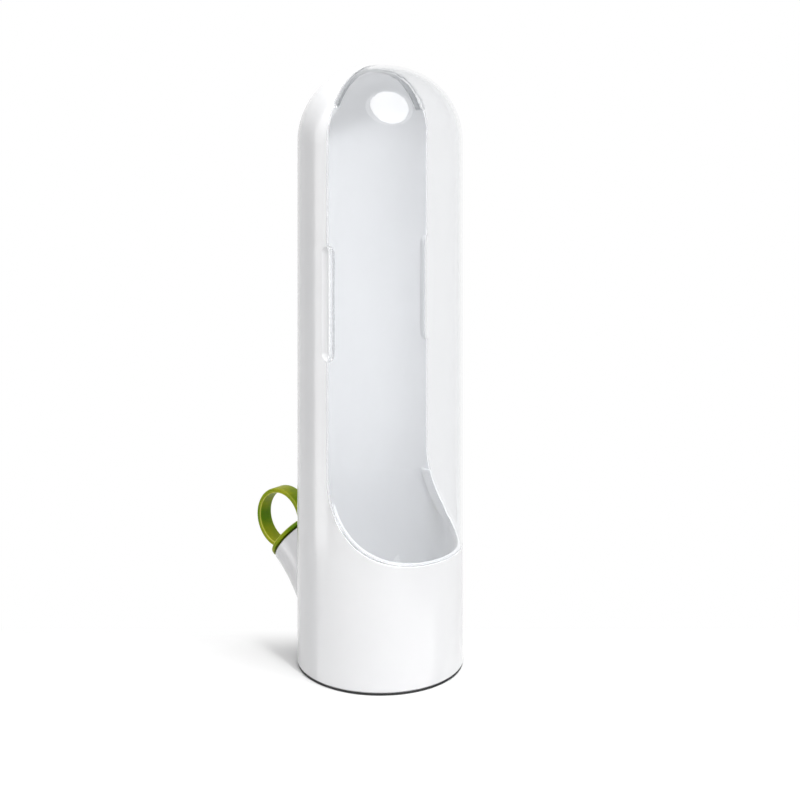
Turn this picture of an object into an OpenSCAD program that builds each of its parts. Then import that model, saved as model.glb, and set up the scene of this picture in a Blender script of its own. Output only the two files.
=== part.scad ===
// Herb keeper: a slim pod that keeps a bunch of cut herbs upright in water.
// A white rear shell and base in one moulding, a clear front cover that pulls off
// forwards, and a soft ring stopper in the slanted filling spout at the back.
// Millimetres, Z up. The origin is on the pod's axis in the plane of its foot,
// and the clear front faces -Y.

/* [Pod] */
// Outside diameter of the pod
body_d = 76; // [68:1:84]
// Height over all
total_h = 273; // [235:1:310]
// Diameter of the nearly flat crown of the dome, inside its rounded shoulder
crown_d = 6; // [2:1:16]
// Wall of the white shell
shell_wall = 1.6; // [1.4:0.1:2.2]
// Bevel on the shell's lowest edge
foot_bevel = 0.6; // [0.3:0.1:1]

/* [Opening] */
// Height of the closed base at the front
base_h = 54; // [48:1:70]
// Radius of the opening's lower corners, seen from the side
corner_r = 38; // [28:1:38]
// Height of the locating lip above the opening's edge
lip_h = 0.9; // [0.6:0.1:2.5]
// Depth of the locating lip's root below the opening's edge
lip_root_h = 4; // [3:0.5:8]
// Thickness of the locating lip
lip_t = 0.9; // [0.7:0.1:1.6]
// How far below the corners' start the lip ends square
lip_end_drop = 12; // [6:1:20]

/* [Front cover] */
// Wall of the clear cover
cover_wall = 1.3; // [1.1:0.1:1.8]
// Gap between the cover's edge and the shell
seam_gap = 0.3; // [0.2:0.05:0.5]
// Clearance between a lip and the wall that it faces
lip_gap = 0.2; // [0.15:0.05:0.4]
// Thickness of the cover's lip over the dome
dome_lip_t = 1; // [0.7:0.1:1.6]
// How far the dome lip reaches behind the shell's edge
dome_lip_reach = 2.5; // [1:0.5:5]
// How far in front of the seam the dome lip starts
dome_lip_root = 1.8; // [1.2:0.1:4]
// Height of the dome lip's two ends below the top of the pod
dome_lip_drop = 20; // [12:1:30]

/* [Finger recesses] */
// Height of the recess's middle on the side seams
recess_z = 167.5; // [158:0.5:176]
// Length of a recess
recess_len = 50; // [36:1:56]
// Width of a recess across the seam
recess_w = 6.2; // [4:0.2:9]
// Depth of a recess at the seam
recess_depth = 1.3; // [0.8:0.1:1.6]
// Wall kept behind a recess
recess_wall = 1.4; // [1.2:0.1:2]

/* [Filling spout] */
// Outside diameter of the spout
spout_d = 28.2; // [25:0.2:30]
// Wall of the spout at its rim
spout_wall = 1.6; // [1.4:0.1:2.2]
// Tilt of the spout's axis above level
spout_tilt = 40; // [34:1:46]
// Radius of the curve that the spout's underside follows down to the foot
spout_bend_r = 56; // [52:1:64]
// Distance of the rim's middle from the pod's axis
rim_y = 49.7; // [48:0.1:54]
// Height of the rim's middle
rim_z = 46.5; // [44:0.1:52]
// Bevel on the spout's rim
rim_bevel = 0.5; // [0.3:0.1:0.8]

/* [Ring stopper] */
// Diameter of the stopper's flange
flange_d = 28.2; // [26:0.2:32]
// Thickness of the flange
flange_t = 1.8; // [1.4:0.1:3]
// Shadow gap under the flange's edge
flange_shadow = 1; // [0.5:0.1:1.2]
// Gap between the stopper's seat and the spout's rim
seat_gap = 0.3; // [0.2:0.05:0.4]
// Length of the plug below the seat
plug_len = 7; // [5:0.5:7]
// How much slimmer the plug's core is than the bore, on each side
plug_slack = 0.7; // [0.5:0.1:1]
// Radial clearance of the plug's sealing ribs
rib_clearance = 0.05; // [0.02:0.01:0.08]
// Number of sealing ribs
rib_count = 2; // [1:1:3]
// Outside diameter of the finger ring
ring_d = 28.8; // [26:0.2:32]
// Thickness of the finger ring's band
ring_t = 2.2; // [1.6:0.1:2.8]
// Width of the finger ring's band
ring_w = 8; // [6:0.2:11]
// Height of the ring's middle above the flange
ring_lift = 9.8; // [8:0.1:11]

/* [Bottom cap] */
// Height of the cap that closes the base
cap_h = 8; // [7:0.5:10]
// Thickness of the cap's floor
cap_floor = 2.4; // [1.6:0.1:3]
// Thickness of the cap's skirt
cap_skirt = 4.6; // [4:0.1:6]
// Wall left around the cap's bore
cap_bore_wall = 1.6; // [1.2:0.1:1.7]
// Radial clearance of the cap in its bore
cap_clearance = 0.05; // [0.02:0.01:0.1]
// Thickness of the seal ring's cord
seal_cord = 2.4; // [1.8:0.1:2.8]
// Height of the non-slip foot below the shell
foot_h = 0.9; // [0.6:0.1:1.4]
// How far the foot stands in from the shell's side
foot_inset = 0.8; // [0.5:0.1:1.5]
// Breadth of the foot's tread
foot_w = 5; // [3:0.5:7]
// Height of the foot's tongue in the cap
tongue_h = 1.6; // [1:0.1:2.2]
// Breadth of the foot's tongue
tongue_w = 1.8; // [1.2:0.1:2.4]
// Clearance all round the foot's tongue in its groove
tongue_clearance = 0.05; // [0.02:0.01:0.1]

/* [Hidden] */
$fn = 96;

WHITE = [0.95, 0.95, 0.96];
CLEAR = [0.85, 0.90, 0.92, 0.35];
LIME = [0.55, 0.62, 0.10];
DARK = [0.10, 0.10, 0.11];
RUBBER = [0.20, 0.20, 0.21];

// Overshoot that lets a cut pass cleanly through a face
eps = 0.5;

body_r = body_d / 2;
shoulder_r = body_r - crown_d / 2;
cavity_r = body_r - shell_wall;
cover_r = body_r - cover_wall;
cap_bore_r = body_r - cap_bore_wall;
cap_r = cap_bore_r - cap_clearance;
cap_top_z = foot_h + cap_h;

// Locating lip: its outside clears the cover's inside
lip_r = cover_r - lip_gap;
lip_in_r = min(lip_r, cavity_r) - lip_t;
lip_top_z = base_h + corner_r - lip_end_drop;

// Dome lip: its outside clears the shell's inside
dome_lip_in = shell_wall + lip_gap;
dome_lip_z = total_h - dome_lip_drop;

// A recess is cut by a round-ended rod beside the pod. Its radius follows from
// the width and the depth that it leaves in the round wall.
recess_side = recess_w / 2;
recess_sag = recess_depth - (body_r - sqrt(body_r * body_r - recess_side * recess_side));
recess_r = (recess_side * recess_side + recess_sag * recess_sag) / (2 * recess_sag);
recess_x = body_r - recess_depth + recess_r;
recess_end = sqrt(recess_r * recess_r - pow(recess_x - body_r, 2));
recess_rod = recess_len - 2 * recess_end;

// Spout: an arc of tube that ends in its rim, its bend's axis behind the pod,
// with a straight channel that runs from the rim into the cavity
spout_r = spout_d / 2;
bore_r = spout_r - spout_wall;
bend_angle = 90 - spout_tilt;
bend_axis_r = spout_bend_r + spout_r;
bend_y = rim_y + bend_axis_r * cos(bend_angle);
bend_z = rim_z - bend_axis_r * sin(bend_angle);
channel_len = (rim_y - cavity_r + 2 * bore_r) / cos(spout_tilt);

// Stopper, along the spout's axis from its rim
flange_r = flange_d / 2;
plug_r = bore_r - plug_slack;
rib_r = bore_r - rib_clearance;
rib_round = (rib_r - plug_r) * 1.5;
seat_r = (bore_r + spout_r) / 2;
flange_top = flange_shadow + flange_t;
rib_pitch = (plug_len - 1) / (rib_count + 0.5);

// Seal ring in the cap's groove
groove_t = seal_cord * 1.15;
groove_z = foot_h + cap_h * 0.45;
seal_r = cap_bore_r - cap_clearance - seal_cord / 2;

// Foot
foot_r = body_r - foot_inset;
tongue_r = cap_r - (cap_skirt - tongue_w) / 2;

// Half outline of the pod, from its axis outwards: straight side, rounded
// shoulder and flat crown
module pod_outline(side_r, round_r, top_z) {
    intersection() {
        square([side_r, top_z]);
        union() {
            square([side_r, top_z - round_r]);
            square([side_r - round_r, top_z]);
            translate([side_r - round_r, top_z - round_r])
                circle(r = round_r);
        }
    }
}

// Solid pod, drawn in from its outer face by wall. It is turned so that the
// outline starts at the front, away from the opening's side edges.
module pod(wall) {
    rotate([0, 0, -90])
        rotate_extrude()
            pod_outline(body_r - wall, shoulder_r - wall, total_h - wall);
}

// Side outline of the opening in the (Y, Z) plane, shrunk by inset
module opening_outline(inset) {
    corner_z = base_h + corner_r;
    reach_y = 2 * body_r;
    translate([-reach_y, corner_z])
        square([reach_y - inset, total_h]);
    translate([-reach_y, base_h + inset])
        square([reach_y - corner_r, corner_r + eps]);
    translate([-corner_r, corner_z])
        circle(r = corner_r - inset);
}

// Everything in front of the opening's edge, shrunk by inset
module opening_block(inset) {
    rotate([90, 0, 90])
        linear_extrude(height = 2 * body_d, center = true)
            opening_outline(inset);
}

// Band along the opening's edge, from inset low to inset high
module edge_band(low, high) {
    rotate([90, 0, 90])
        linear_extrude(height = 2 * body_d, center = true)
            intersection() {
                difference() {
                    opening_outline(low);
                    opening_outline(high);
                }
                translate([-2 * body_d, 0])
                    square([3 * body_d, lip_top_z]);
            }
}

// Upright tube
module tube(outer_r, inner_r, low_z, high_z) {
    translate([0, 0, low_z])
        difference() {
            cylinder(r = outer_r, h = high_z - low_z);
            translate([0, 0, -eps])
                cylinder(r = inner_r, h = high_z - low_z + 2 * eps);
        }
}

// Round-ended rods beside both side seams, grown by extra
module recess_rods(extra) {
    for (side = [-1, 1])
        translate([side * recess_x, 0, recess_z]) {
            cylinder(r = recess_r + extra, h = recess_rod, center = true);
            for (end = [-1, 1])
                translate([0, 0, end * recess_rod / 2])
                    sphere(r = recess_r + extra);
        }
}

// Pod wall with what is set on its outside: hollow above floor_z, with a
// thicker place behind each recess
module pod_wall(wall, floor_z) {
    difference() {
        union() {
            pod(0);
            children();
        }
        difference() {
            intersection() {
                pod(wall);
                translate([0, 0, floor_z])
                    cylinder(r = body_d, h = total_h);
            }
            recess_rods(recess_wall);
        }
        recess_rods(0);
    }
}

// Solid arc of the spout, up to its rim
module spout_arc() {
    translate([0, bend_y, bend_z])
        rotate([90, 0, -90])
            rotate_extrude(angle = bend_angle)
                translate([bend_axis_r, 0])
                    circle(r = spout_r);
}

// Moves what is drawn upright from its rim onto the spout's axis
module on_spout() {
    translate([0, rim_y, rim_z])
        rotate([-bend_angle, 0, 0])
            children();
}

// Straight channel from past the rim into the cavity
module spout_channel() {
    on_spout()
        translate([0, 0, -channel_len])
            cylinder(r = bore_r, h = channel_len + eps);
}

// Ring that bevels the spout's rim
module rim_bevelling() {
    on_spout()
        rotate_extrude()
            polygon([
                [spout_r - rim_bevel, 0],
                [spout_r - rim_bevel, eps],
                [spout_r + eps, eps],
                [spout_r + eps, -rim_bevel - eps],
            ]);
}

// Lip inside the lower edge of the opening that centres the cover
module locating_lip() {
    intersection() {
        tube(lip_r, lip_in_r, base_h - 2 * lip_root_h, lip_top_z);
        edge_band(-lip_root_h, lip_h);
    }
    intersection() {
        tube(body_r - shell_wall / 2, lip_in_r, base_h - 2 * lip_root_h, lip_top_z);
        edge_band(-lip_root_h, -eps);
    }
}

// White rear shell, base and spout in one moulding
module body_shell() {
    color(WHITE)
        difference() {
            union() {
                difference() {
                    pod_wall(shell_wall, cap_top_z)
                        spout_arc();
                    spout_channel();
                    opening_block(0);
                }
                locating_lip();
            }
            cylinder(r = cap_bore_r, h = cap_top_z);
            translate([0, 0, -body_d])
                cylinder(r = body_d, h = body_d + foot_h);
            foot_bevelling();
            rim_bevelling();
        }
}

// Ring that bevels the shell's foot
module foot_bevelling() {
    rotate_extrude()
        polygon([
            [body_r - foot_bevel - eps, foot_h - eps],
            [body_r + eps, foot_h - eps],
            [body_r + eps, foot_h + foot_bevel + eps],
        ]);
}

// Slice of the dome's wall, from depth near to depth far under the pod's outside
// and from back_y forwards to front_y
module dome_band(near, far, front_y, back_y) {
    intersection() {
        difference() {
            pod(near);
            pod(far);
        }
        translate([-body_d, front_y, dome_lip_z])
            cube([2 * body_d, back_y - front_y, dome_lip_drop]);
    }
}

// Lip of the cover that tucks in behind the shell's edge over the dome
module dome_lip() {
    far = dome_lip_in + dome_lip_t;
    dome_band(dome_lip_in, far, -dome_lip_root, dome_lip_reach);
    dome_band(cover_wall / 2, far, -dome_lip_root, -seam_gap);
}

// Clear front cover with its lip over the dome
module front_cover() {
    color(CLEAR)
        union() {
            intersection() {
                pod_wall(cover_wall, 0);
                opening_block(seam_gap);
            }
            dome_lip();
        }
}

// Half outline of the plug and flange, upright, with the rim at zero height
module stopper_outline() {
    translate([0, flange_shadow])
        square([flange_r, flange_t]);
    translate([0, seat_gap])
        square([seat_r, flange_t]);
    translate([0, -plug_len])
        square([plug_r, plug_len + flange_t]);
    for (i = [0 : rib_count - 1])
        translate([rib_r - rib_round, -1 - rib_round - i * rib_pitch])
            circle(r = rib_round);
}

// Soft stopper with its sealing ribs and finger ring
module ring_stopper() {
    color(LIME)
        on_spout()
            union() {
                rotate_extrude()
                    stopper_outline();
                translate([0, 0, flange_top + ring_lift])
                    rotate([0, 90, 0])
                        difference() {
                            cylinder(d = ring_d, h = ring_w, center = true);
                            cylinder(d = ring_d - 2 * ring_t, h = ring_w + eps, center = true);
                            // leaves out the part of the ring that the flange swallows
                            translate([ring_lift + flange_t / 2, -ring_d, -ring_d])
                                cube(2 * ring_d);
                        }
            }
}

// Cap pressed into the foot of the shell: the reservoir's floor
module bottom_cap() {
    color(WHITE)
        difference() {
            translate([0, 0, foot_h])
                cylinder(r = cap_r, h = cap_h);
            translate([0, 0, foot_h - eps])
                cylinder(r = cap_r - cap_skirt, h = cap_h - cap_floor + eps);
            tube(cap_r + eps, seal_r - seal_cord / 2, groove_z - groove_t / 2, groove_z + groove_t / 2);
            foot_groove();
        }
}

// Groove in the cap for the foot's tongue
module foot_groove() {
    outer_r = tongue_r + tongue_clearance;
    inner_r = tongue_r - tongue_w - tongue_clearance;
    tube(outer_r, inner_r, foot_h - eps, foot_h + tongue_h + tongue_clearance);
}

// Seal ring in the cap's groove
module seal_ring() {
    color(RUBBER)
        translate([0, 0, groove_z])
            rotate_extrude()
                translate([seal_r, 0])
                    circle(d = seal_cord);
}

// Non-slip foot, its tongue held in the cap
module foot_ring() {
    color(DARK)
        union() {
            tube(foot_r, foot_r - foot_w, 0, foot_h);
            tube(tongue_r, tongue_r - tongue_w, foot_h - foot_h / 2, foot_h + tongue_h);
        }
}

body_shell();
front_cover();
ring_stopper();
bottom_cap();
seal_ring();
foot_ring();
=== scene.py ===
# %% [markdown]
# # A herb keeper that stands in the fridge door
# The real thing is a tall white moulded pod, 273 mm high and 76 mm across. Its front half is a
# clear cover, and a small filling spout at the back is closed by a lime silicone stopper with a
# finger ring. The solids come in ready made from the frame, in metres. This lesson keeps the ones
# whose shape is right, rebuilds the ones that need softer forms, and gives each a finish.

# %% Load the frame
import math
import bpy
import bmesh
from mathutils import Matrix, Vector


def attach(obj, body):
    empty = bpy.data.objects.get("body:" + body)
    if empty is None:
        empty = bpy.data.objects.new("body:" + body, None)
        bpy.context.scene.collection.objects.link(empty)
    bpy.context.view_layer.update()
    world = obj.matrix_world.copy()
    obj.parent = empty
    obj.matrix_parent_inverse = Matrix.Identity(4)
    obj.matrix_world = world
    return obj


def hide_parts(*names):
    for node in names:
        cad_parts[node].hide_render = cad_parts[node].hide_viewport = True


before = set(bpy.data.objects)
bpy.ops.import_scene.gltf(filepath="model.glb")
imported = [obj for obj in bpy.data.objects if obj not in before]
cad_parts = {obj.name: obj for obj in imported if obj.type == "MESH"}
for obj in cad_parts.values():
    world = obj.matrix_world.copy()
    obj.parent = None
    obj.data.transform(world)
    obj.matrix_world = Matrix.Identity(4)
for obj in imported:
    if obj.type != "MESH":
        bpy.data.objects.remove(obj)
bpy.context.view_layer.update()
print("pieces from the frame:", sorted(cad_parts))

# %% [markdown]
# ## The camera
# The photograph looks at the keeper from its left front, from just under 0.6 m. The lens and the
# place were solved from the pod's outline. The camera could be tilted to find the keeper, but
# upright edges would then lean together. So it stays level and its frame is shifted down.

# %% Place the camera
PHOTO_SIDE = 800
FOCAL_PIXELS = 1291.6
CENTRE_X, CENTRE_Y = 380.24, 123.2
VIEW_TURN = math.radians(-52.07)
VIEW_DISTANCE = 0.5934
VIEW_HEIGHT = 0.24635
SENSOR = 36.0


def around(turn, distance, height):
    """A place at a turn round the pod: 0 is straight in front, positive is to the right."""
    return Vector((distance * math.sin(turn), -distance * math.cos(turn), height))


camera_data = bpy.data.cameras.new("camera")
camera = bpy.data.objects.new("camera", camera_data)
bpy.context.scene.collection.objects.link(camera)
camera.location = around(VIEW_TURN, VIEW_DISTANCE, VIEW_HEIGHT)
camera.rotation_euler = (math.radians(90), 0, VIEW_TURN)
camera_data.sensor_width = SENSOR
camera_data.lens = FOCAL_PIXELS / PHOTO_SIDE * SENSOR
camera_data.shift_x = (PHOTO_SIDE / 2 - CENTRE_X) / PHOTO_SIDE
camera_data.shift_y = (CENTRE_Y - PHOTO_SIDE / 2) / PHOTO_SIDE
bpy.context.scene.camera = camera
print("camera lens, mm:", round(camera_data.lens, 2))

# %% [markdown]
# ## Modelling by hand
# An operator acts on everything that is selected, so each piece starts from an empty selection.
# Round pieces are turned the way a potter raises a wall: a disc is extruded, lifted and widened
# ring by ring along its outline. Lengths are written in mm and scaled where they are used.

# %% Select, edit and clean a mesh
MM = 0.001


def pick_only(piece):
    """Select one object alone and make it active."""
    bpy.ops.object.select_all(action="DESELECT")
    piece.select_set(True)
    bpy.context.view_layer.objects.active = piece


def edit(piece):
    """Enter edit mode on one object, with all of its mesh selected."""
    pick_only(piece)
    bpy.ops.object.mode_set(mode="EDIT")
    bpy.ops.mesh.select_all(action="SELECT")


def leave_edit():
    """Go back to object mode."""
    bpy.ops.object.mode_set(mode="OBJECT")


def face_outwards(piece, merge=0.00001):
    """Merge doubles, then turn every face outwards."""
    edit(piece)
    bpy.ops.mesh.remove_doubles(threshold=merge)
    bpy.ops.mesh.normals_make_consistent(inside=False)
    leave_edit()


# %% [markdown]
# ## The stopper's plug and flange
# On the real keeper one soft silicone moulding closes the spout: a ribbed plug seals the bore, a
# flange hides the rim, and a flat band is bent into a ring for a finger. Plug and flange could be
# stacked cylinders joined together. Raising one outline ring by ring keeps them a single closed
# skin with soft edges. All of the stopper is made upright and is tilted at the end.

# %% Draw the outline of plug and flange
SPOUT_R = 14.1
PLUG_R = 11.8
PLUG_LENGTH = 7.0
PLUG_SOFT = 0.6
NECK_R = 10.6
RIB_R = 12.45
RIB_ROUND = 0.975
RIB_HEIGHTS = (-4.375, -1.975)
FLANGE_LOW, FLANGE_TOP = 1.0, 2.8
FLANGE_SOFT = 0.55
FLANGE_SOFT_BELOW = 0.25
FLANGE_FLAT_FROM = 3.0
HUB_R = 2.0


def arc_points(centre, radius, start, end, steps):
    """Points of an arc in an outline, by its centre, radius and angles in degrees."""
    points = []
    for i in range(steps + 1):
        angle = math.radians(start + (end - start) * i / steps)
        points.append((centre[0] + radius * math.cos(angle),
                       centre[1] + radius * math.sin(angle)))
    return points


plug_end_r = PLUG_R - PLUG_SOFT
rib_centre_r = RIB_R - RIB_ROUND
rib_reach = math.degrees(math.acos((PLUG_R - rib_centre_r) / RIB_ROUND))
outline = [(HUB_R, -PLUG_LENGTH), (plug_end_r, -PLUG_LENGTH)]
outline += arc_points((plug_end_r, PLUG_SOFT - PLUG_LENGTH), PLUG_SOFT,
                      start=-60, end=0, steps=3)
for rib in RIB_HEIGHTS:
    outline += arc_points((rib_centre_r, rib), RIB_ROUND,
                          start=-rib_reach, end=rib_reach, steps=8)
outline += [(PLUG_R, -PLUG_SOFT), (NECK_R, 0), (NECK_R, FLANGE_LOW)]
outline += arc_points((SPOUT_R - FLANGE_SOFT_BELOW, FLANGE_LOW + FLANGE_SOFT_BELOW),
                      FLANGE_SOFT_BELOW, start=-90, end=0, steps=3)
outline += arc_points((SPOUT_R - FLANGE_SOFT, FLANGE_TOP - FLANGE_SOFT), FLANGE_SOFT,
                      start=0, end=90, steps=6)
outline += [(SPOUT_R - FLANGE_FLAT_FROM, FLANGE_TOP), (HUB_R, FLANGE_TOP)]
print("outline points:", len(outline))

# %% Raise the plug and flange ring by ring
STOPPER_SIDES = 128


def raise_round(name, outline, sides):
    """Turn an outline of (radius, height) points in mm into a closed round piece."""
    radius, height = outline[0]
    bpy.ops.object.select_all(action="DESELECT")
    bpy.ops.mesh.primitive_circle_add(vertices=sides, radius=radius * MM, fill_type="NGON",
                                      location=(0, 0, height * MM))
    piece = bpy.context.object
    piece.name = name
    bpy.ops.object.transform_apply(location=True, rotation=True, scale=True)
    edit(piece)
    for new_radius, new_height in outline[1:]:
        bpy.ops.mesh.extrude_region_move(
            TRANSFORM_OT_translate={"value": (0, 0, (new_height - height) * MM)})
        factor = new_radius / radius
        bpy.ops.transform.resize(value=(factor, factor, 1),
                                 center_override=(0, 0, new_height * MM))
        radius, height = new_radius, new_height
    leave_edit()
    face_outwards(piece)
    return piece


stopper = raise_round("stopper", outline, STOPPER_SIDES)
print("raised", stopper.name, "with points:", len(stopper.data.vertices))

# %% Measure it, and see that its skin is closed
def report(piece):
    """Print what was made, and whether its skin is closed."""
    skin = bmesh.new()
    skin.from_mesh(piece.data)
    open_edges = sum(1 for edge in skin.edges if not edge.is_manifold)
    print(piece.name, "faces", len(skin.faces), "open edges", open_edges,
          "volume mm3", round(skin.calc_volume() / MM ** 3, 1))
    skin.free()


report(stopper)

# %% [markdown]
# ## The finger ring
# The ring is a flat band of the same silicone with rounded edges, rooted in the flange. It could
# be a curve with a section swept along it. Here one small rounded section is spun round the
# ring's centre, which keeps even rows of points, so that the feet can be widened by their height
# until they flow into the flange. A union then makes band and flange one skin.

# %% Spin the band
RING_OUT, RING_IN = 14.4, 12.2
RING_WIDTH = 8.0
RING_LIFT = 9.8
RING_CENTRE = FLANGE_TOP + RING_LIFT
BAND_SOFT = 0.55
BAND_SOFT_STEPS = 4
BAND_STEPS = 132
FOOT_TURN = 36.0

band_middle = (RING_OUT + RING_IN) / 2
band_half = (RING_OUT - RING_IN) / 2
bpy.ops.object.select_all(action="DESELECT")
bpy.ops.mesh.primitive_plane_add(size=1, location=(0, 0, 0))
band = bpy.context.object
band.name = "finger_band"
edit(band)
bpy.ops.transform.resize(value=(RING_WIDTH * MM, (RING_OUT - RING_IN) * MM, 1),
                         center_override=(0, 0, 0))
bpy.ops.mesh.bevel(offset=BAND_SOFT * MM, segments=BAND_SOFT_STEPS, affect="VERTICES")
bpy.ops.transform.translate(value=(0, -band_middle * MM, 0))
leave_edit()
swing = math.radians(90 - FOOT_TURN)
for corner in band.data.vertices:
    x, y, z = corner.co
    corner.co = (x, y * math.cos(swing), RING_CENTRE * MM + y * math.sin(swing))
edit(band)
bpy.ops.mesh.spin(steps=BAND_STEPS, angle=math.radians(360 - 2 * FOOT_TURN),
                  center=(0, 0, RING_CENTRE * MM), axis=(1, 0, 0))
leave_edit()
face_outwards(band)
print("band from", round(min(v.co.z for v in band.data.vertices) / MM, 2), "to",
      round(max(v.co.z for v in band.data.vertices) / MM, 2), "mm above the rim")

# %% Let the band's feet flow into the flange
ROOT_REACH = 1.7
ROOT_FLARE = 1.1


def apply_modifier(piece, kind, **settings):
    """Add a modifier, set it up and apply it."""
    step = piece.modifiers.new(kind.lower(), kind)
    for name, value in settings.items():
        setattr(step, name, value)
    pick_only(piece)
    bpy.ops.object.modifier_apply(modifier=step.name)


for corner in band.data.vertices:
    x, y, z = (value / MM for value in corner.co)
    low = min(1.0, max(0.0, (FLANGE_TOP + ROOT_REACH - z) / ROOT_REACH))
    flare = ROOT_FLARE * (1 - math.sqrt(max(0.0, 1 - low * low)))
    side = (math.hypot(y, z - RING_CENTRE) - band_middle) / band_half
    across = x / (RING_WIDTH / 2)
    corner.co.x += flare * across * MM
    corner.co.y += flare * side * math.copysign(1.0, y) * MM
apply_modifier(stopper, "BOOLEAN", object=band, operation="UNION", solver="EXACT")
bpy.data.objects.remove(band)
face_outwards(stopper)
report(stopper)

# %% [markdown]
# ## Where the silicone gets a painted highlight
# The ring's rounded edges catch light, and light comes through thin silicone there, so they look
# paler and yellower than its flats, most of all on the inside. That light is painted into the
# colour as a highlight. The Geometry node's pointiness could find the edges, but it would mark
# inside and outside alike. So each point of the mesh stores how strong its painted highlight is,
# worked out from its place in the section, and the finish reads that number later.

# %% Mark the rounded edges
INNER_HIGHLIGHT, OUTER_HIGHLIGHT, RIM_HIGHLIGHT = 0.8, 0.25, 0.5
CORNER_GAIN = 4
ABOVE_FLANGE = 0.05
PALE_ENOUGH = 0.1


def roundness(first, first_half, second, second_half, soft):
    """1 over the middle of a rounded corner of a section, 0 on its flats."""
    first_share = max(0.0, (first - first_half + soft) / soft)
    second_share = max(0.0, (second - second_half + soft) / soft)
    return min(1.0, CORNER_GAIN * first_share * second_share)


# Each point stores the strength of its painted highlight.
painted_edge_highlight = stopper.data.attributes.new("painted_edge_highlight", "FLOAT", "POINT")
for i, corner in enumerate(stopper.data.vertices):
    x, y, z = (value / MM for value in corner.co)
    if z > FLANGE_TOP + ABOVE_FLANGE:
        from_middle = math.hypot(y, z - RING_CENTRE) - band_middle
        mark = roundness(abs(x), RING_WIDTH / 2, abs(from_middle), band_half, BAND_SOFT)
        mark *= INNER_HIGHLIGHT if from_middle < 0 else OUTER_HIGHLIGHT
        mark *= min(1.0, (z - FLANGE_TOP) / ROOT_REACH)
    else:
        mark = RIM_HIGHLIGHT * roundness(math.hypot(x, y), SPOUT_R, z, FLANGE_TOP, FLANGE_SOFT)
    painted_edge_highlight.data[i].value = mark
print("pale edge points:", sum(1 for item in painted_edge_highlight.data if item.value > PALE_ENOUGH))

# %% [markdown]
# ## Onto the spout
# The spout's mouth looks back and up, so the upright stopper is tilted back by 50 degrees and
# lifted onto the rim. The object could be turned, but then a pattern in Object coordinates would
# turn with it. So the mesh is moved, and the object stays at the origin as the solids do.

# %% Tilt the stopper onto the spout
RIM_Y, RIM_Z = 49.7, 46.5
BEND = math.radians(50)


def smooth(piece, degrees):
    """Smooth shading, with edges sharper than the angle left crisp."""
    pick_only(piece)
    bpy.ops.object.shade_smooth_by_angle(angle=math.radians(degrees))


onto_spout = Matrix.Translation((0, RIM_Y * MM, RIM_Z * MM)) @ Matrix.Rotation(-BEND, 4, "X")
stopper.data.transform(onto_spout)
smooth(stopper, degrees=30)
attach(stopper, "stopper")
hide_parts("ring_stopper")
print("lowest corner of the stopper's box, mm:",
      [round(v / MM, 2) for v in stopper.bound_box[0]])

# %% [markdown]
# ## The blend where the spout leaves the pod
# The moulded spout doesn't meet the pod in a hard crease: the wall flows out into it. The solid
# has the crease, so this strip fills it as a ball rolled along the valley would: small at the
# top, where the spout's mouth is close to the wall, and fuller along the flanks. Each section is
# worked out from the two surfaces, because a bevel can't change its size along so shallow a join.
# The strip is 1 mm thick, and its long edges dive slowly under both walls, so no edge shows.

# %% Let a ball touch the pod and the spout
BODY_R = 38.0
BEND_R = 70.1
BEND_Y, BEND_Z = 94.76, -7.20
BALL_TOP, BALL_SIDE = 1.1, 5.0
HALVINGS = 60


def ball_centre(turn, ball):
    """The ball's centre at one turn of the bend, touching the pod and the spout, or None."""
    reach = SPOUT_R + ball
    wanted = BODY_R + ball

    def gap(swing):
        x = reach * math.sin(swing)
        y = BEND_Y - (BEND_R + reach * math.cos(swing)) * math.cos(turn)
        return math.hypot(x, y) - wanted

    low, high = 0.0, math.pi
    if gap(low) > 0 or gap(high) < 0:
        return None
    for _ in range(HALVINGS):
        middle = (low + high) / 2
        if gap(middle) < 0:
            low = middle
        else:
            high = middle
    out = BEND_R + reach * math.cos(low)
    return Vector((reach * math.sin(low), BEND_Y - out * math.cos(turn),
                   BEND_Z + out * math.sin(turn)))


def on_pod_wall(place, sunk):
    """The same place moved level onto the pod's wall, or as deep as told under it."""
    flat = Vector((place.x, place.y, 0)).normalized() * (BODY_R - sunk)
    return Vector((flat.x, flat.y, place.z))


def on_spout_wall(place, sunk):
    """The same place moved onto the bent spout's wall, or as deep as told under it."""
    spoke = Vector((0, place.y - BEND_Y, place.z - BEND_Z)).normalized()
    tube = Vector((0, BEND_Y, BEND_Z)) + spoke * BEND_R
    return tube + (place - tube).normalized() * (SPOUT_R - sunk)


print("the ball half way down the bend, mm:",
      [round(v, 2) for v in ball_centre(BEND / 2, BALL_SIDE)])

# %% Shape one section of the strip
ARC_STEPS = 14
DIVE_STEPS = 5
DIVE_LENGTH = 1.5
DIVE_SHARE = 0.9
DIVE_R = 12.0
BURIED = 1.0


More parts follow.
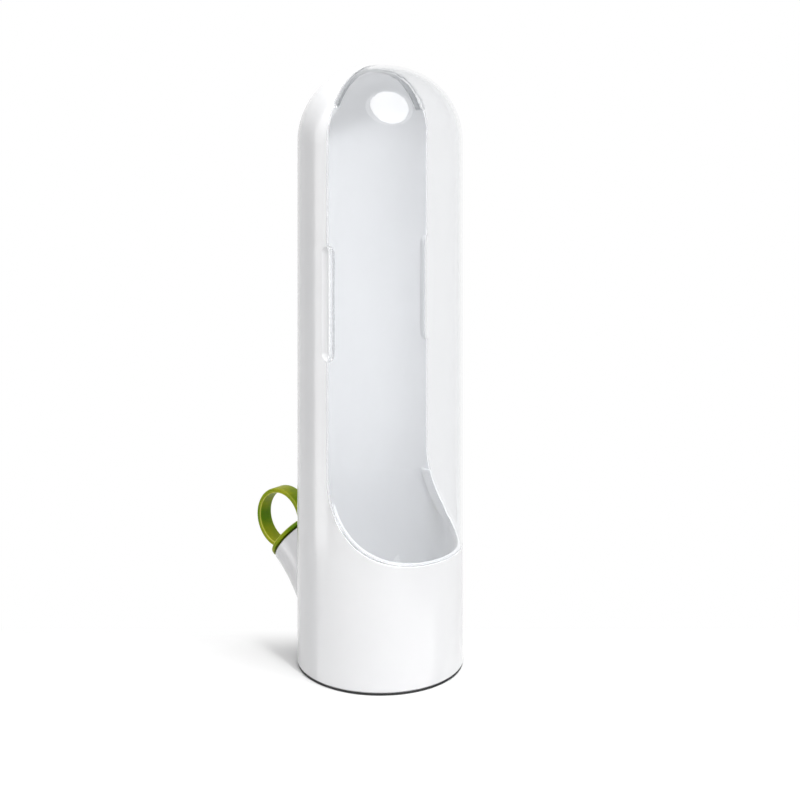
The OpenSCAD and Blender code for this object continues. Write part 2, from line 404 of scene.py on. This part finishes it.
def blend_section(turn, ball):
    """One closed section: the ball's arc, both ends diving slowly under the walls."""
    centre = ball_centre(turn, ball)
    if centre is None:
        return None
    touch_pod = on_pod_wall(centre, 0)
    touch_spout = on_spout_wall(centre, 0)
    first = (touch_pod - centre).normalized()
    last = (touch_spout - centre).normalized()
    angle = first.angle(last)
    seen, buried = [], []
    for i in range(ARC_STEPS + 1):
        share = i / ARC_STEPS
        direction = first * math.sin((1 - share) * angle) + last * math.sin(share * angle)
        direction /= math.sin(angle)
        seen.append(centre + direction * ball)
        buried.append(centre + direction * (ball + BURIED))
    length = min(DIVE_LENGTH, DIVE_SHARE * ball)
    down_pod = (first * first.dot(last) - last).normalized()
    down_spout = (last * last.dot(first) - first).normalized()
    for i in range(1, DIVE_STEPS + 1):
        way = length * i / DIVE_STEPS
        depth = way * way / (2 * DIVE_R)
        pod_end = touch_pod + down_pod * way
        spout_end = touch_spout + down_spout * way
        seen.insert(0, on_pod_wall(pod_end, depth))
        buried.insert(0, on_pod_wall(pod_end, depth + BURIED))
        seen.append(on_spout_wall(spout_end, depth))
        buried.append(on_spout_wall(spout_end, depth + BURIED))
    return seen + buried[::-1]


print("points round one section:", len(blend_section(BEND / 2, BALL_SIDE)))

# %% Roll the ball down the valley
GROWTH, GROWTH_CURVE = 1.6, 1.2
STATIONS = 72
CROWDING = 2
TURN_STEP = 0.0005
FOOT_Z = 0.9
BELOW_FOOT = 6

turn_high = BEND
while ball_centre(turn_high, BALL_TOP) is None and turn_high > 0:
    turn_high -= TURN_STEP
sections = []
for i in range(STATIONS + 1):
    turn = turn_high * (1 - (i / STATIONS) ** CROWDING)
    ball = BALL_TOP + (BALL_SIDE - BALL_TOP) * min(1.0, GROWTH * i / STATIONS) ** GROWTH_CURVE
    section = blend_section(turn, ball)
    if section is not None and section[0].z > FOOT_Z - BELOW_FOOT:
        sections.append(section)
sections[0] = [Vector((0, point.y, point.z)) for point in sections[0]]
highest = max(math.degrees(math.atan2(point.z - BEND_Z, BEND_Y - point.y))
              for section in sections for point in section)
print("sections rolled:", len(sections), "highest turn", round(highest, 2),
      "degrees, rim at", round(math.degrees(BEND)))

# %% Skin the sections, mirror them and trim the strip at the foot
TRIM_ABOVE_FOOT = 0.7
MIDDLE_MERGE, STRIP_MERGE = 0.00002, 0.000005

count = len(sections[0])
rows = len(sections) - 1
corners = [point * MM for section in sections for point in section]
skins = []
for row in range(rows):
    for i in range(count):
        j = (i + 1) % count
        skins.append((row * count + i, row * count + j,
                      (row + 1) * count + j, (row + 1) * count + i))
skins.append(tuple(range(rows * count, (rows + 1) * count)))
blend_mesh = bpy.data.meshes.new("spout_blend")
blend_mesh.from_pydata([tuple(c) for c in corners], [], skins)
blend = bpy.data.objects.new("spout_blend", blend_mesh)
bpy.context.scene.collection.objects.link(blend)
apply_modifier(blend, "MIRROR", merge_threshold=MIDDLE_MERGE)
edit(blend)
bpy.ops.mesh.bisect(plane_co=(0, 0, (FOOT_Z + TRIM_ABOVE_FOOT) * MM), plane_no=(0, 0, 1),
                    clear_inner=True, use_fill=True)
leave_edit()
face_outwards(blend, merge=STRIP_MERGE)
smooth(blend, degrees=40)
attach(blend, "pod")
report(blend)

# %% [markdown]
# ## The foot
# A flat rubber ring under the cap keeps the keeper from sliding. Its tongue is pressed into a
# groove of the cap. Seen from the side it is the thin dark line under the white wall. It could be
# cut from a cylinder. Spinning its section, two small rectangles, round the pod's axis is shorter
# and gives the ring its rounded corners at once.

# %% Spin the foot ring
FOOT_OUT, FOOT_IN, FOOT_H = 37.75, 32.2, 0.9
TONGUE_OUT, TONGUE_IN, TONGUE_TOP = 34.95, 33.15, 2.5
FOOT_SOFT = 0.3
FOOT_SOFT_STEPS = 3
FOOT_STEPS = 160


def section_plane(inner, outer, low, high):
    """A rectangle standing in the plane of the section, from a primitive plane."""
    bpy.ops.object.select_all(action="DESELECT")
    bpy.ops.mesh.primitive_plane_add(size=1, location=(0, 0, 0))
    bpy.ops.transform.resize(value=((outer - inner) * MM, (high - low) * MM, 1),
                             center_override=(0, 0, 0))
    piece = bpy.context.object
    piece.rotation_euler = (math.radians(90), 0, 0)
    piece.location = ((outer + inner) / 2 * MM, 0, (low + high) / 2 * MM)
    bpy.ops.object.transform_apply(location=True, rotation=True, scale=True)
    return piece


foot_ring = section_plane(FOOT_IN, FOOT_OUT, 0, FOOT_H)
foot_ring.name = "foot_pad"
edit(foot_ring)
bpy.ops.mesh.bevel(offset=FOOT_SOFT * MM, segments=FOOT_SOFT_STEPS, affect="VERTICES")
leave_edit()
tongue = section_plane(TONGUE_IN, TONGUE_OUT, FOOT_H / 2, TONGUE_TOP)
for part in (foot_ring, tongue):
    edit(part)
    bpy.ops.mesh.delete(type="ONLY_FACE")
    bpy.ops.mesh.select_all(action="SELECT")
    bpy.ops.mesh.spin(steps=FOOT_STEPS, angle=math.radians(360), center=(0, 0, 0),
                      axis=(0, 0, 1))
    leave_edit()
    face_outwards(part)
pick_only(foot_ring)
tongue.select_set(True)
bpy.ops.object.join()
smooth(foot_ring, degrees=34)
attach(foot_ring, "pod")
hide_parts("foot_ring")
report(foot_ring)

# %% [markdown]
# ## Working with nodes
# Every finish is a node material that reads Object coordinates in metres, so a noise scale of
# 300 has lumps about 3 mm across. Nodes can be added one by one, but the same few return in each
# finish, on the floor and in the world. So one small class adds and links them.

# %% Add and link nodes
class Nodes:
    """A node tree with a short way to add and link its nodes."""

    def __init__(self, tree):
        self.tree = tree

    def feed(self, socket, value):
        """Give a socket a plain value, or link it to another node's output."""
        if hasattr(value, "is_output"):
            self.tree.links.new(value, socket)
        else:
            socket.default_value = value

    def add(self, kind, **inputs):
        """Add a node and feed its inputs by name."""
        node = self.tree.nodes.new(kind)
        for name, value in inputs.items():
            self.feed(node.inputs[name.replace("_", " ")], value)
        return node

    def maths(self, kind, first, second):
        """A number worked out from two others."""
        node = self.add("ShaderNodeMath")
        node.operation = kind
        self.feed(node.inputs[0], first)
        self.feed(node.inputs[1], second)
        return node.outputs[0]

    def measure(self, kind, first, second=(0, 0, 0)):
        """A number worked out from one or two directions."""
        node = self.add("ShaderNodeVectorMath")
        node.operation = kind
        self.feed(node.inputs[0], first)
        self.feed(node.inputs[1], second)
        return node.outputs["Value"]

    def spread(self, value, low, high, start=0.3, end=0.7, way="LINEAR"):
        """Map a number onto a range. A noise mostly stays between 0.3 and 0.7."""
        node = self.add("ShaderNodeMapRange", Value=value, From_Min=start, From_Max=end,
                        To_Min=low, To_Max=high)
        node.interpolation_type = way
        return node.outputs["Result"]

    def seen_directly(self):
        """1 for what the camera, a clear part or a mirror looks at, 0 for spread light."""
        ray = self.add("ShaderNodeLightPath").outputs
        direct = self.maths("MAXIMUM", ray["Is Camera Ray"], ray["Is Transmission Ray"])
        return self.maths("MAXIMUM", direct, ray["Is Glossy Ray"])


print("short ways to work with nodes:", [way for way in vars(Nodes) if way[0] != "_"])

# %% A finish and its common parts
BEVEL_SAMPLES = 8


class Finish(Nodes):
    """A material with its main shader and its place in the object."""

    def __init__(self, name):
        self.material = bpy.data.materials.new(name)
        self.material.use_nodes = True
        super().__init__(self.material.node_tree)
        self.shader = self.tree.nodes["Principled BSDF"]
        self.output = self.tree.nodes["Material Output"]
        self.place = self.add("ShaderNodeTexCoord").outputs["Object"]

    def give(self, **inputs):
        """Feed the main shader's inputs by name."""
        for name, value in inputs.items():
            self.feed(self.shader.inputs[name.replace("_", " ")], value)

    def noise(self, scale, detail):
        """Soft lumps, 1 / scale metres across."""
        texture = self.add("ShaderNodeTexNoise", Vector=self.place, Scale=scale, Detail=detail)
        return texture.outputs["Fac"]

    def tint(self, value, first, second):
        """A colour between two, each a colour or another node's output."""
        mix = self.add("ShaderNodeMix")
        mix.data_type = "RGBA"
        self.feed(mix.inputs["Factor"], value)
        for name, colour in (("A", first), ("B", second)):
            self.feed(mix.inputs[name], (*colour, 1) if isinstance(colour, tuple) else colour)
        return mix.outputs["Result"]

    def surface_relief(self, layers, soft_edge=None):
        """Bump layers of (height, depth in metres), over softly rounded edges."""
        normal = None
        if soft_edge:
            bevel = self.add("ShaderNodeBevel", Radius=soft_edge)
            bevel.samples = BEVEL_SAMPLES
            normal = bevel.outputs["Normal"]
        for height, depth in layers:
            bump = self.add("ShaderNodeBump", Strength=1.0, Distance=depth, Height=height)
            if normal is not None:
                self.feed(bump.inputs["Normal"], normal)
            normal = bump.outputs["Normal"]
        self.give(Normal=normal)


print("and with a finish:", [way for way in vars(Finish) if way[0] != "_"])

# %% [markdown]
# ## White gloss plastic
# The pod is moulded in glossy white plastic. Even a good moulding is never one flat colour: the
# wall has faint waves, and its tone and gloss change a little from place to place. A single
# colour would look drawn, so slow noise moves the tone and two fine layers of relief break up the
# reflections. The bevel node rounds the solid's sharp edges without new faces.

# %% White gloss plastic
WHITE_LOW, WHITE_HIGH = (0.845, 0.848, 0.862), (0.875, 0.877, 0.888)
WHITE_GLOSS = (0.13, 0.20)
WAVE_DEPTH, GRAIN_DEPTH = 0.00001, 0.000002
SOFT_EDGE = 0.0004

white = Finish("white_gloss_plastic")
white_tone = white.spread(white.noise(22, 3), 0, 1)
white.give(Base_Color=white.tint(white_tone, WHITE_LOW, WHITE_HIGH),
           Roughness=white.spread(white.noise(160, 3), *WHITE_GLOSS), IOR=1.53)
white.surface_relief([(white.noise(190, 1), WAVE_DEPTH), (white.noise(1500, 2), GRAIN_DEPTH)],
                     soft_edge=SOFT_EDGE)
print("made", white.material.name)

# %% [markdown]
# ## Clear plastic
# The cover is a clear, polished moulding that bends what lies behind it at its edges. Plain
# transparency wouldn't bend anything, so the main shader lets light through like glass. But such
# a wall throws a dark shadow, and light that bounces back and forth inside it goes black. So a
# shadow ray, and any ray from its fourth bounce on, goes straight through, only dimmed a little.

# %% Clear plastic
CLEAR_TONE = (0.942, 0.946, 0.953, 1)
DIMMED = (0.865, 0.874, 0.881, 1)
CLEAR_GLOSS = (0.01, 0.035)
MOST_BOUNCES = 3.5

clear = Finish("clear_plastic")
clear.give(Base_Color=CLEAR_TONE, Transmission_Weight=1.0, IOR=1.57,
           Roughness=clear.spread(clear.noise(45, 4), *CLEAR_GLOSS))
see_through = clear.add("ShaderNodeBsdfTransparent", Color=DIMMED)
light_path = clear.add("ShaderNodeLightPath").outputs
trapped = clear.maths("GREATER_THAN", light_path["Ray Depth"], MOST_BOUNCES)
straight = clear.maths("MAXIMUM", light_path["Is Shadow Ray"], trapped)
shadow_mix = clear.add("ShaderNodeMixShader")
for i, source in enumerate((straight, clear.shader.outputs[0], see_through.outputs[0])):
    clear.feed(shadow_mix.inputs[i], source)
clear.feed(clear.output.inputs["Surface"], shadow_mix.outputs[0])
print("made", clear.material.name)

# %% [markdown]
# ## Lime silicone
# Silicone is soft and satin, yellow-green where light gets through it and a deep green where it
# is thick or shaded. Scattering under the skin could give that, but it is slow and noisy on so
# small a piece. Here slow noise moves between the two greens, a painted highlight makes the marked
# edges paler and yellower, and ambient occlusion paints shade into the gaps beside the flange.

# %% Lime silicone
DEEP_GREEN, YELLOW_GREEN = (0.135, 0.275, 0.004), (0.41, 0.44, 0.009)
PAINTED_HIGHLIGHT_COLOUR = (0.75, 0.74, 0.12)
GAP_REACH, GAP_SAMPLES = 0.0016, 6
GAP_TONES = (0.03, 1.0)
LIME_GLOSS = (0.34, 0.46)
LIME_GRAIN_DEPTH, LIME_WAVE_DEPTH = 0.000006, 0.00001

lime = Finish("lime_silicone")
lime_tone = lime.spread(lime.noise(75, 3), 0, 1, start=0.35, end=0.65)
lime_body = lime.tint(lime_tone, DEEP_GREEN, YELLOW_GREEN)
# Painted highlight: the edges stored on the stopper's points are mixed towards a pale yellow.
highlight_marks = lime.add("ShaderNodeAttribute")
highlight_marks.attribute_name = "painted_edge_highlight"
lime_colour = lime.tint(highlight_marks.outputs["Fac"], lime_body, PAINTED_HIGHLIGHT_COLOUR)
# Painted shade: ambient occlusion darkens the colour in the gaps beside the flange.
crevice = lime.add("ShaderNodeAmbientOcclusion", Distance=GAP_REACH)
crevice.samples = GAP_SAMPLES
gap_shade = lime.spread(crevice.outputs["AO"], *GAP_TONES, start=0.25, end=0.75)
shaded = lime.add("ShaderNodeVectorMath")
shaded.operation = "SCALE"
lime.feed(shaded.inputs[0], lime_colour)
lime.feed(shaded.inputs["Scale"], gap_shade)
lime.give(Base_Color=shaded.outputs[0], Roughness=lime.spread(lime.noise(900, 2), *LIME_GLOSS),
          IOR=1.43, Specular_IOR_Level=0.1)
lime.surface_relief([(lime.noise(2200, 2), LIME_GRAIN_DEPTH),
                     (lime.noise(260, 2), LIME_WAVE_DEPTH)])
print("made", lime.material.name)

# %% [markdown]
# ## Cap, seal and foot
# The parts below are duller: a satin moulding for the cap, and black rubber for seal and foot.
# Real rubber is a dark grey rather than black, and rougher in some places than in others. Each
# could be written out as the white is, but they differ only in colours, scales and depths. So
# one function makes all three, with one tone, one roughness and one layer of relief each.

# %% Cap plastic, seal rubber and foot rubber
def plain_finish(name, tone, colours, matt, gloss, grain, depth, soft_edge=None):
    """A finish of one tone, one roughness and one relief, each noise as (scale, detail)."""
    finish = Finish(name)
    finish.give(Base_Color=finish.tint(finish.spread(finish.noise(*tone), 0, 1), *colours),
                Roughness=finish.spread(finish.noise(*matt), *gloss))
    finish.surface_relief([(finish.noise(*grain), depth)], soft_edge)
    print("made", name)
    return finish


cap = plain_finish("satin_cap_plastic", tone=(40, 3),
                   colours=((0.74, 0.745, 0.76), (0.80, 0.803, 0.815)),
                   matt=(700, 3), gloss=(0.42, 0.58), grain=(2600, 2), depth=0.000012,
                   soft_edge=SOFT_EDGE)
seal = plain_finish("seal_rubber", tone=(300, 3),
                    colours=((0.012, 0.012, 0.013), (0.03, 0.03, 0.032)),
                    matt=(1200, 2), gloss=(0.45, 0.65), grain=(2000, 3), depth=0.00001)
foot = plain_finish("foot_rubber", tone=(250, 4),
                    colours=((0.008, 0.008, 0.009), (0.022, 0.022, 0.024)),
                    matt=(900, 3), gloss=(0.55, 0.8), grain=(3000, 2), depth=0.00002,
                    soft_edge=SOFT_EDGE / 2)

# %% [markdown]
# ## Finishes onto the pieces
# The solids from the frame come with a plain material in their slot. Copies could be made and
# painted, but changing what the slot holds leaves each solid's mesh and place as they are. The
# pieces made here have no slot yet, so theirs is added.

# %% Put the finishes on
for name, finish in {"body_shell": white, "front_cover": clear, "ring_stopper": lime,
                     "bottom_cap": cap, "seal_ring": seal, "foot_ring": foot}.items():
    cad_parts[name].material_slots[0].material = finish.material
for piece, finish in ((stopper, lime), (blend, white), (foot_ring, foot)):
    piece.data.materials.clear()
    piece.data.materials.append(finish.material)
print("finishes on")

# %% [markdown]
# ## The floor
# The keeper stands on a sweep of white paper, and only its soft shadow shows on it. A brightly lit
# floor would be white too, but it would throw too much light back onto the pod. So the lamps stay
# plain, and what the camera, a mirror or a clear part sees of the paper turns plain white behind
# the keeper and far away from it, while the shadow beside the foot stays. Spread light meets a
# greyer paper, because a real sweep is small and throws back less than an endless floor would.

# %% Floor
PAPER, PAPER_FOR_SPREAD_LIGHT = (0.85, 0.85, 0.85), (0.50, 0.50, 0.50)
BLACK = (0.0, 0.0, 0.0)
BEHIND_START, BEHIND_END = 0.004, 0.036
NEAR_GLOW = 0.01
AWAY_START, AWAY_END = 0.12, 0.40
FLOOR_SIZE = 30

sweep = Finish("white_sweep")
far_way = -around(VIEW_TURN, 1.0, 0)
behind = sweep.spread(sweep.measure("DOT_PRODUCT", sweep.place, far_way), NEAR_GLOW, 1.0,
                      BEHIND_START, BEHIND_END, "SMOOTHSTEP")
away = sweep.spread(sweep.measure("LENGTH", sweep.place), 0.0, 1.0,
                    AWAY_START, AWAY_END, "SMOOTHSTEP")
glow = sweep.maths("MULTIPLY", sweep.seen_directly(), sweep.maths("MAXIMUM", behind, away))
spread_light = sweep.add("ShaderNodeLightPath").outputs["Is Diffuse Ray"]
paper = sweep.tint(spread_light, PAPER, PAPER_FOR_SPREAD_LIGHT)
sweep.give(Base_Color=sweep.tint(glow, paper, BLACK), Roughness=0.9, Specular_IOR_Level=0.0,
           Emission_Color=(1, 1, 1, 1), Emission_Strength=glow)
bpy.ops.object.select_all(action="DESELECT")
bpy.ops.mesh.primitive_plane_add(size=FLOOR_SIZE, location=(0, 0, 0))
floor = bpy.context.object
floor.name = "floor"
floor.data.materials.append(sweep.material)
print("floor laid, metres across:", FLOOR_SIZE)

# %% [markdown]
# ## The world
# White walls all round fill the shadows of such a picture. One even world would do, but the side
# of the key lamp is a little brighter in a real studio. So the level of the spread light rises
# softly towards that side. What is seen directly, or in a mirror or clear part, is plain white.

# %% World
BRIGHT_TURN, BRIGHT_RISE = math.radians(35), 0.35
DULL_LEVEL, BRIGHT_LEVEL = 0.62, 0.70
DULL_FROM, BRIGHT_FROM = -0.9, 0.6

world = bpy.data.worlds.new("studio")
bpy.context.scene.world = world
world.use_nodes = True
sky = Nodes(world.node_tree)
way = sky.add("ShaderNodeTexCoord").outputs["Generated"]
bright_side = around(VIEW_TURN + BRIGHT_TURN, 1.0, BRIGHT_RISE).normalized()
shade = sky.spread(sky.measure("DOT_PRODUCT", way, bright_side), DULL_LEVEL, BRIGHT_LEVEL,
                   DULL_FROM, BRIGHT_FROM, "SMOOTHSTEP")
level = sky.add("ShaderNodeMix", Factor=sky.seen_directly(), A=shade, B=1.0)
background = sky.tree.nodes["Background"]
sky.feed(background.inputs["Strength"], level.outputs["Result"])
sky.feed(background.inputs["Color"], (1, 1, 1, 1))
print("world from", DULL_LEVEL, "to", BRIGHT_LEVEL)

# %% [markdown]
# ## The lamps
# A small key lamp to the camera's right lays the shadow to the left and back, and a lamp overhead
# lights the dome. The round highlight on the dome is the mirror image of a large, slightly oval
# lamp with a weaker halo round it. The bright step along the pod's left wall is a near upright
# strip, and a lamp lying on the table carries that step down the base. One lamp could do both
# jobs, but lamps that only light and lamps that only show as reflections can be set one by one.

# %% Make and hang a lamp
AIM = Vector((0, 0, 0.15))


def flat_lamp(name, shape, size, height, power):
    """A flat lamp that neither the camera nor a clear part sees."""
    data = bpy.data.lights.new(name, "AREA")
    data.shape = shape
    data.size = size
    if height:
        data.size_y = height
    data.energy = power
    item = bpy.data.objects.new(name, data)
    bpy.context.scene.collection.objects.link(item)
    item.visible_camera = False
    item.visible_transmission = False
    return item


def lamp(name, turn, rise, distance, size, power, shape="DISK", height=None, aim=AIM):
    """A flat lamp at a turn from the camera and a rise above the horizon, in degrees."""
    item = flat_lamp(name, shape, size, height, power)
    flat = distance * math.cos(math.radians(rise))
    item.location = aim + around(VIEW_TURN + math.radians(turn), flat,
                                 distance * math.sin(math.radians(rise)))
    item.rotation_euler = (aim - item.location).to_track_quat("-Z", "Y").to_euler()
    return item


print("lamps point at, mm:", [round(v / MM) for v in AIM])

# %% Lamps that give light
key = lamp("key_softbox", turn=31, rise=42, distance=1.3, size=0.2, power=8.0)
top = lamp("overhead_softbox", turn=38, rise=80, distance=1.1, size=0.3, power=5.5)
for item in (key, top):
    item.visible_glossy = False
print("lamps that give light:", key.name, top.name)

# %% Lamps that show as reflections
DOME = Vector((0, 0, 0.25))
STRIP_AIM = Vector((0, 0, 0.212))

highlight = lamp("round_highlight", turn=18.7, rise=51.5, distance=1.0, size=0.84, height=0.96,
                 power=12.0, shape="ELLIPSE", aim=DOME)
halo = lamp("round_halo", turn=18.7, rise=51.5, distance=1.05, size=1.15, power=5.0, aim=DOME)
strip = lamp("left_strip", turn=-82, rise=0, distance=0.204, size=0.078, height=0.42,
             power=0.30, shape="RECTANGLE", aim=STRIP_AIM)
print("lamps for the dome and the wall:", highlight.name, halo.name, strip.name)

# %% The lamp that lies on the table
LOW_LONG, LOW_WIDE = 0.33, 0.16
LOW_TURN = VIEW_TURN - math.radians(96.5)
STEP_TURN = VIEW_TURN - math.radians(46.5)
ABOVE_TABLE = 0.0015
LOW_SHIFT = 0.035

low_lamp = flat_lamp("low_strip", "RECTANGLE", LOW_LONG, LOW_WIDE, power=0.21)
along = around(LOW_TURN, 1.0, 0)
across = around(LOW_TURN + math.radians(90), 1.0, 0)
step_foot = around(STEP_TURN, BODY_R * MM, ABOVE_TABLE)
low_lamp.location = step_foot + along * LOW_SHIFT + across * (LOW_WIDE / 2)
low_lamp.rotation_euler = (math.pi, 0, math.atan2(along.y, along.x))
for item in (highlight, halo, strip, low_lamp):
    item.visible_diffuse = False
print("lamp for the base:", low_lamp.name)

# %% [markdown]
# ## Colours
# The Standard view shows each colour about as it was written. Other views are gentler on bright
# spots, but they would turn the white plastic grey.

# %% Colour management
bpy.context.scene.view_settings.view_transform = "Standard"
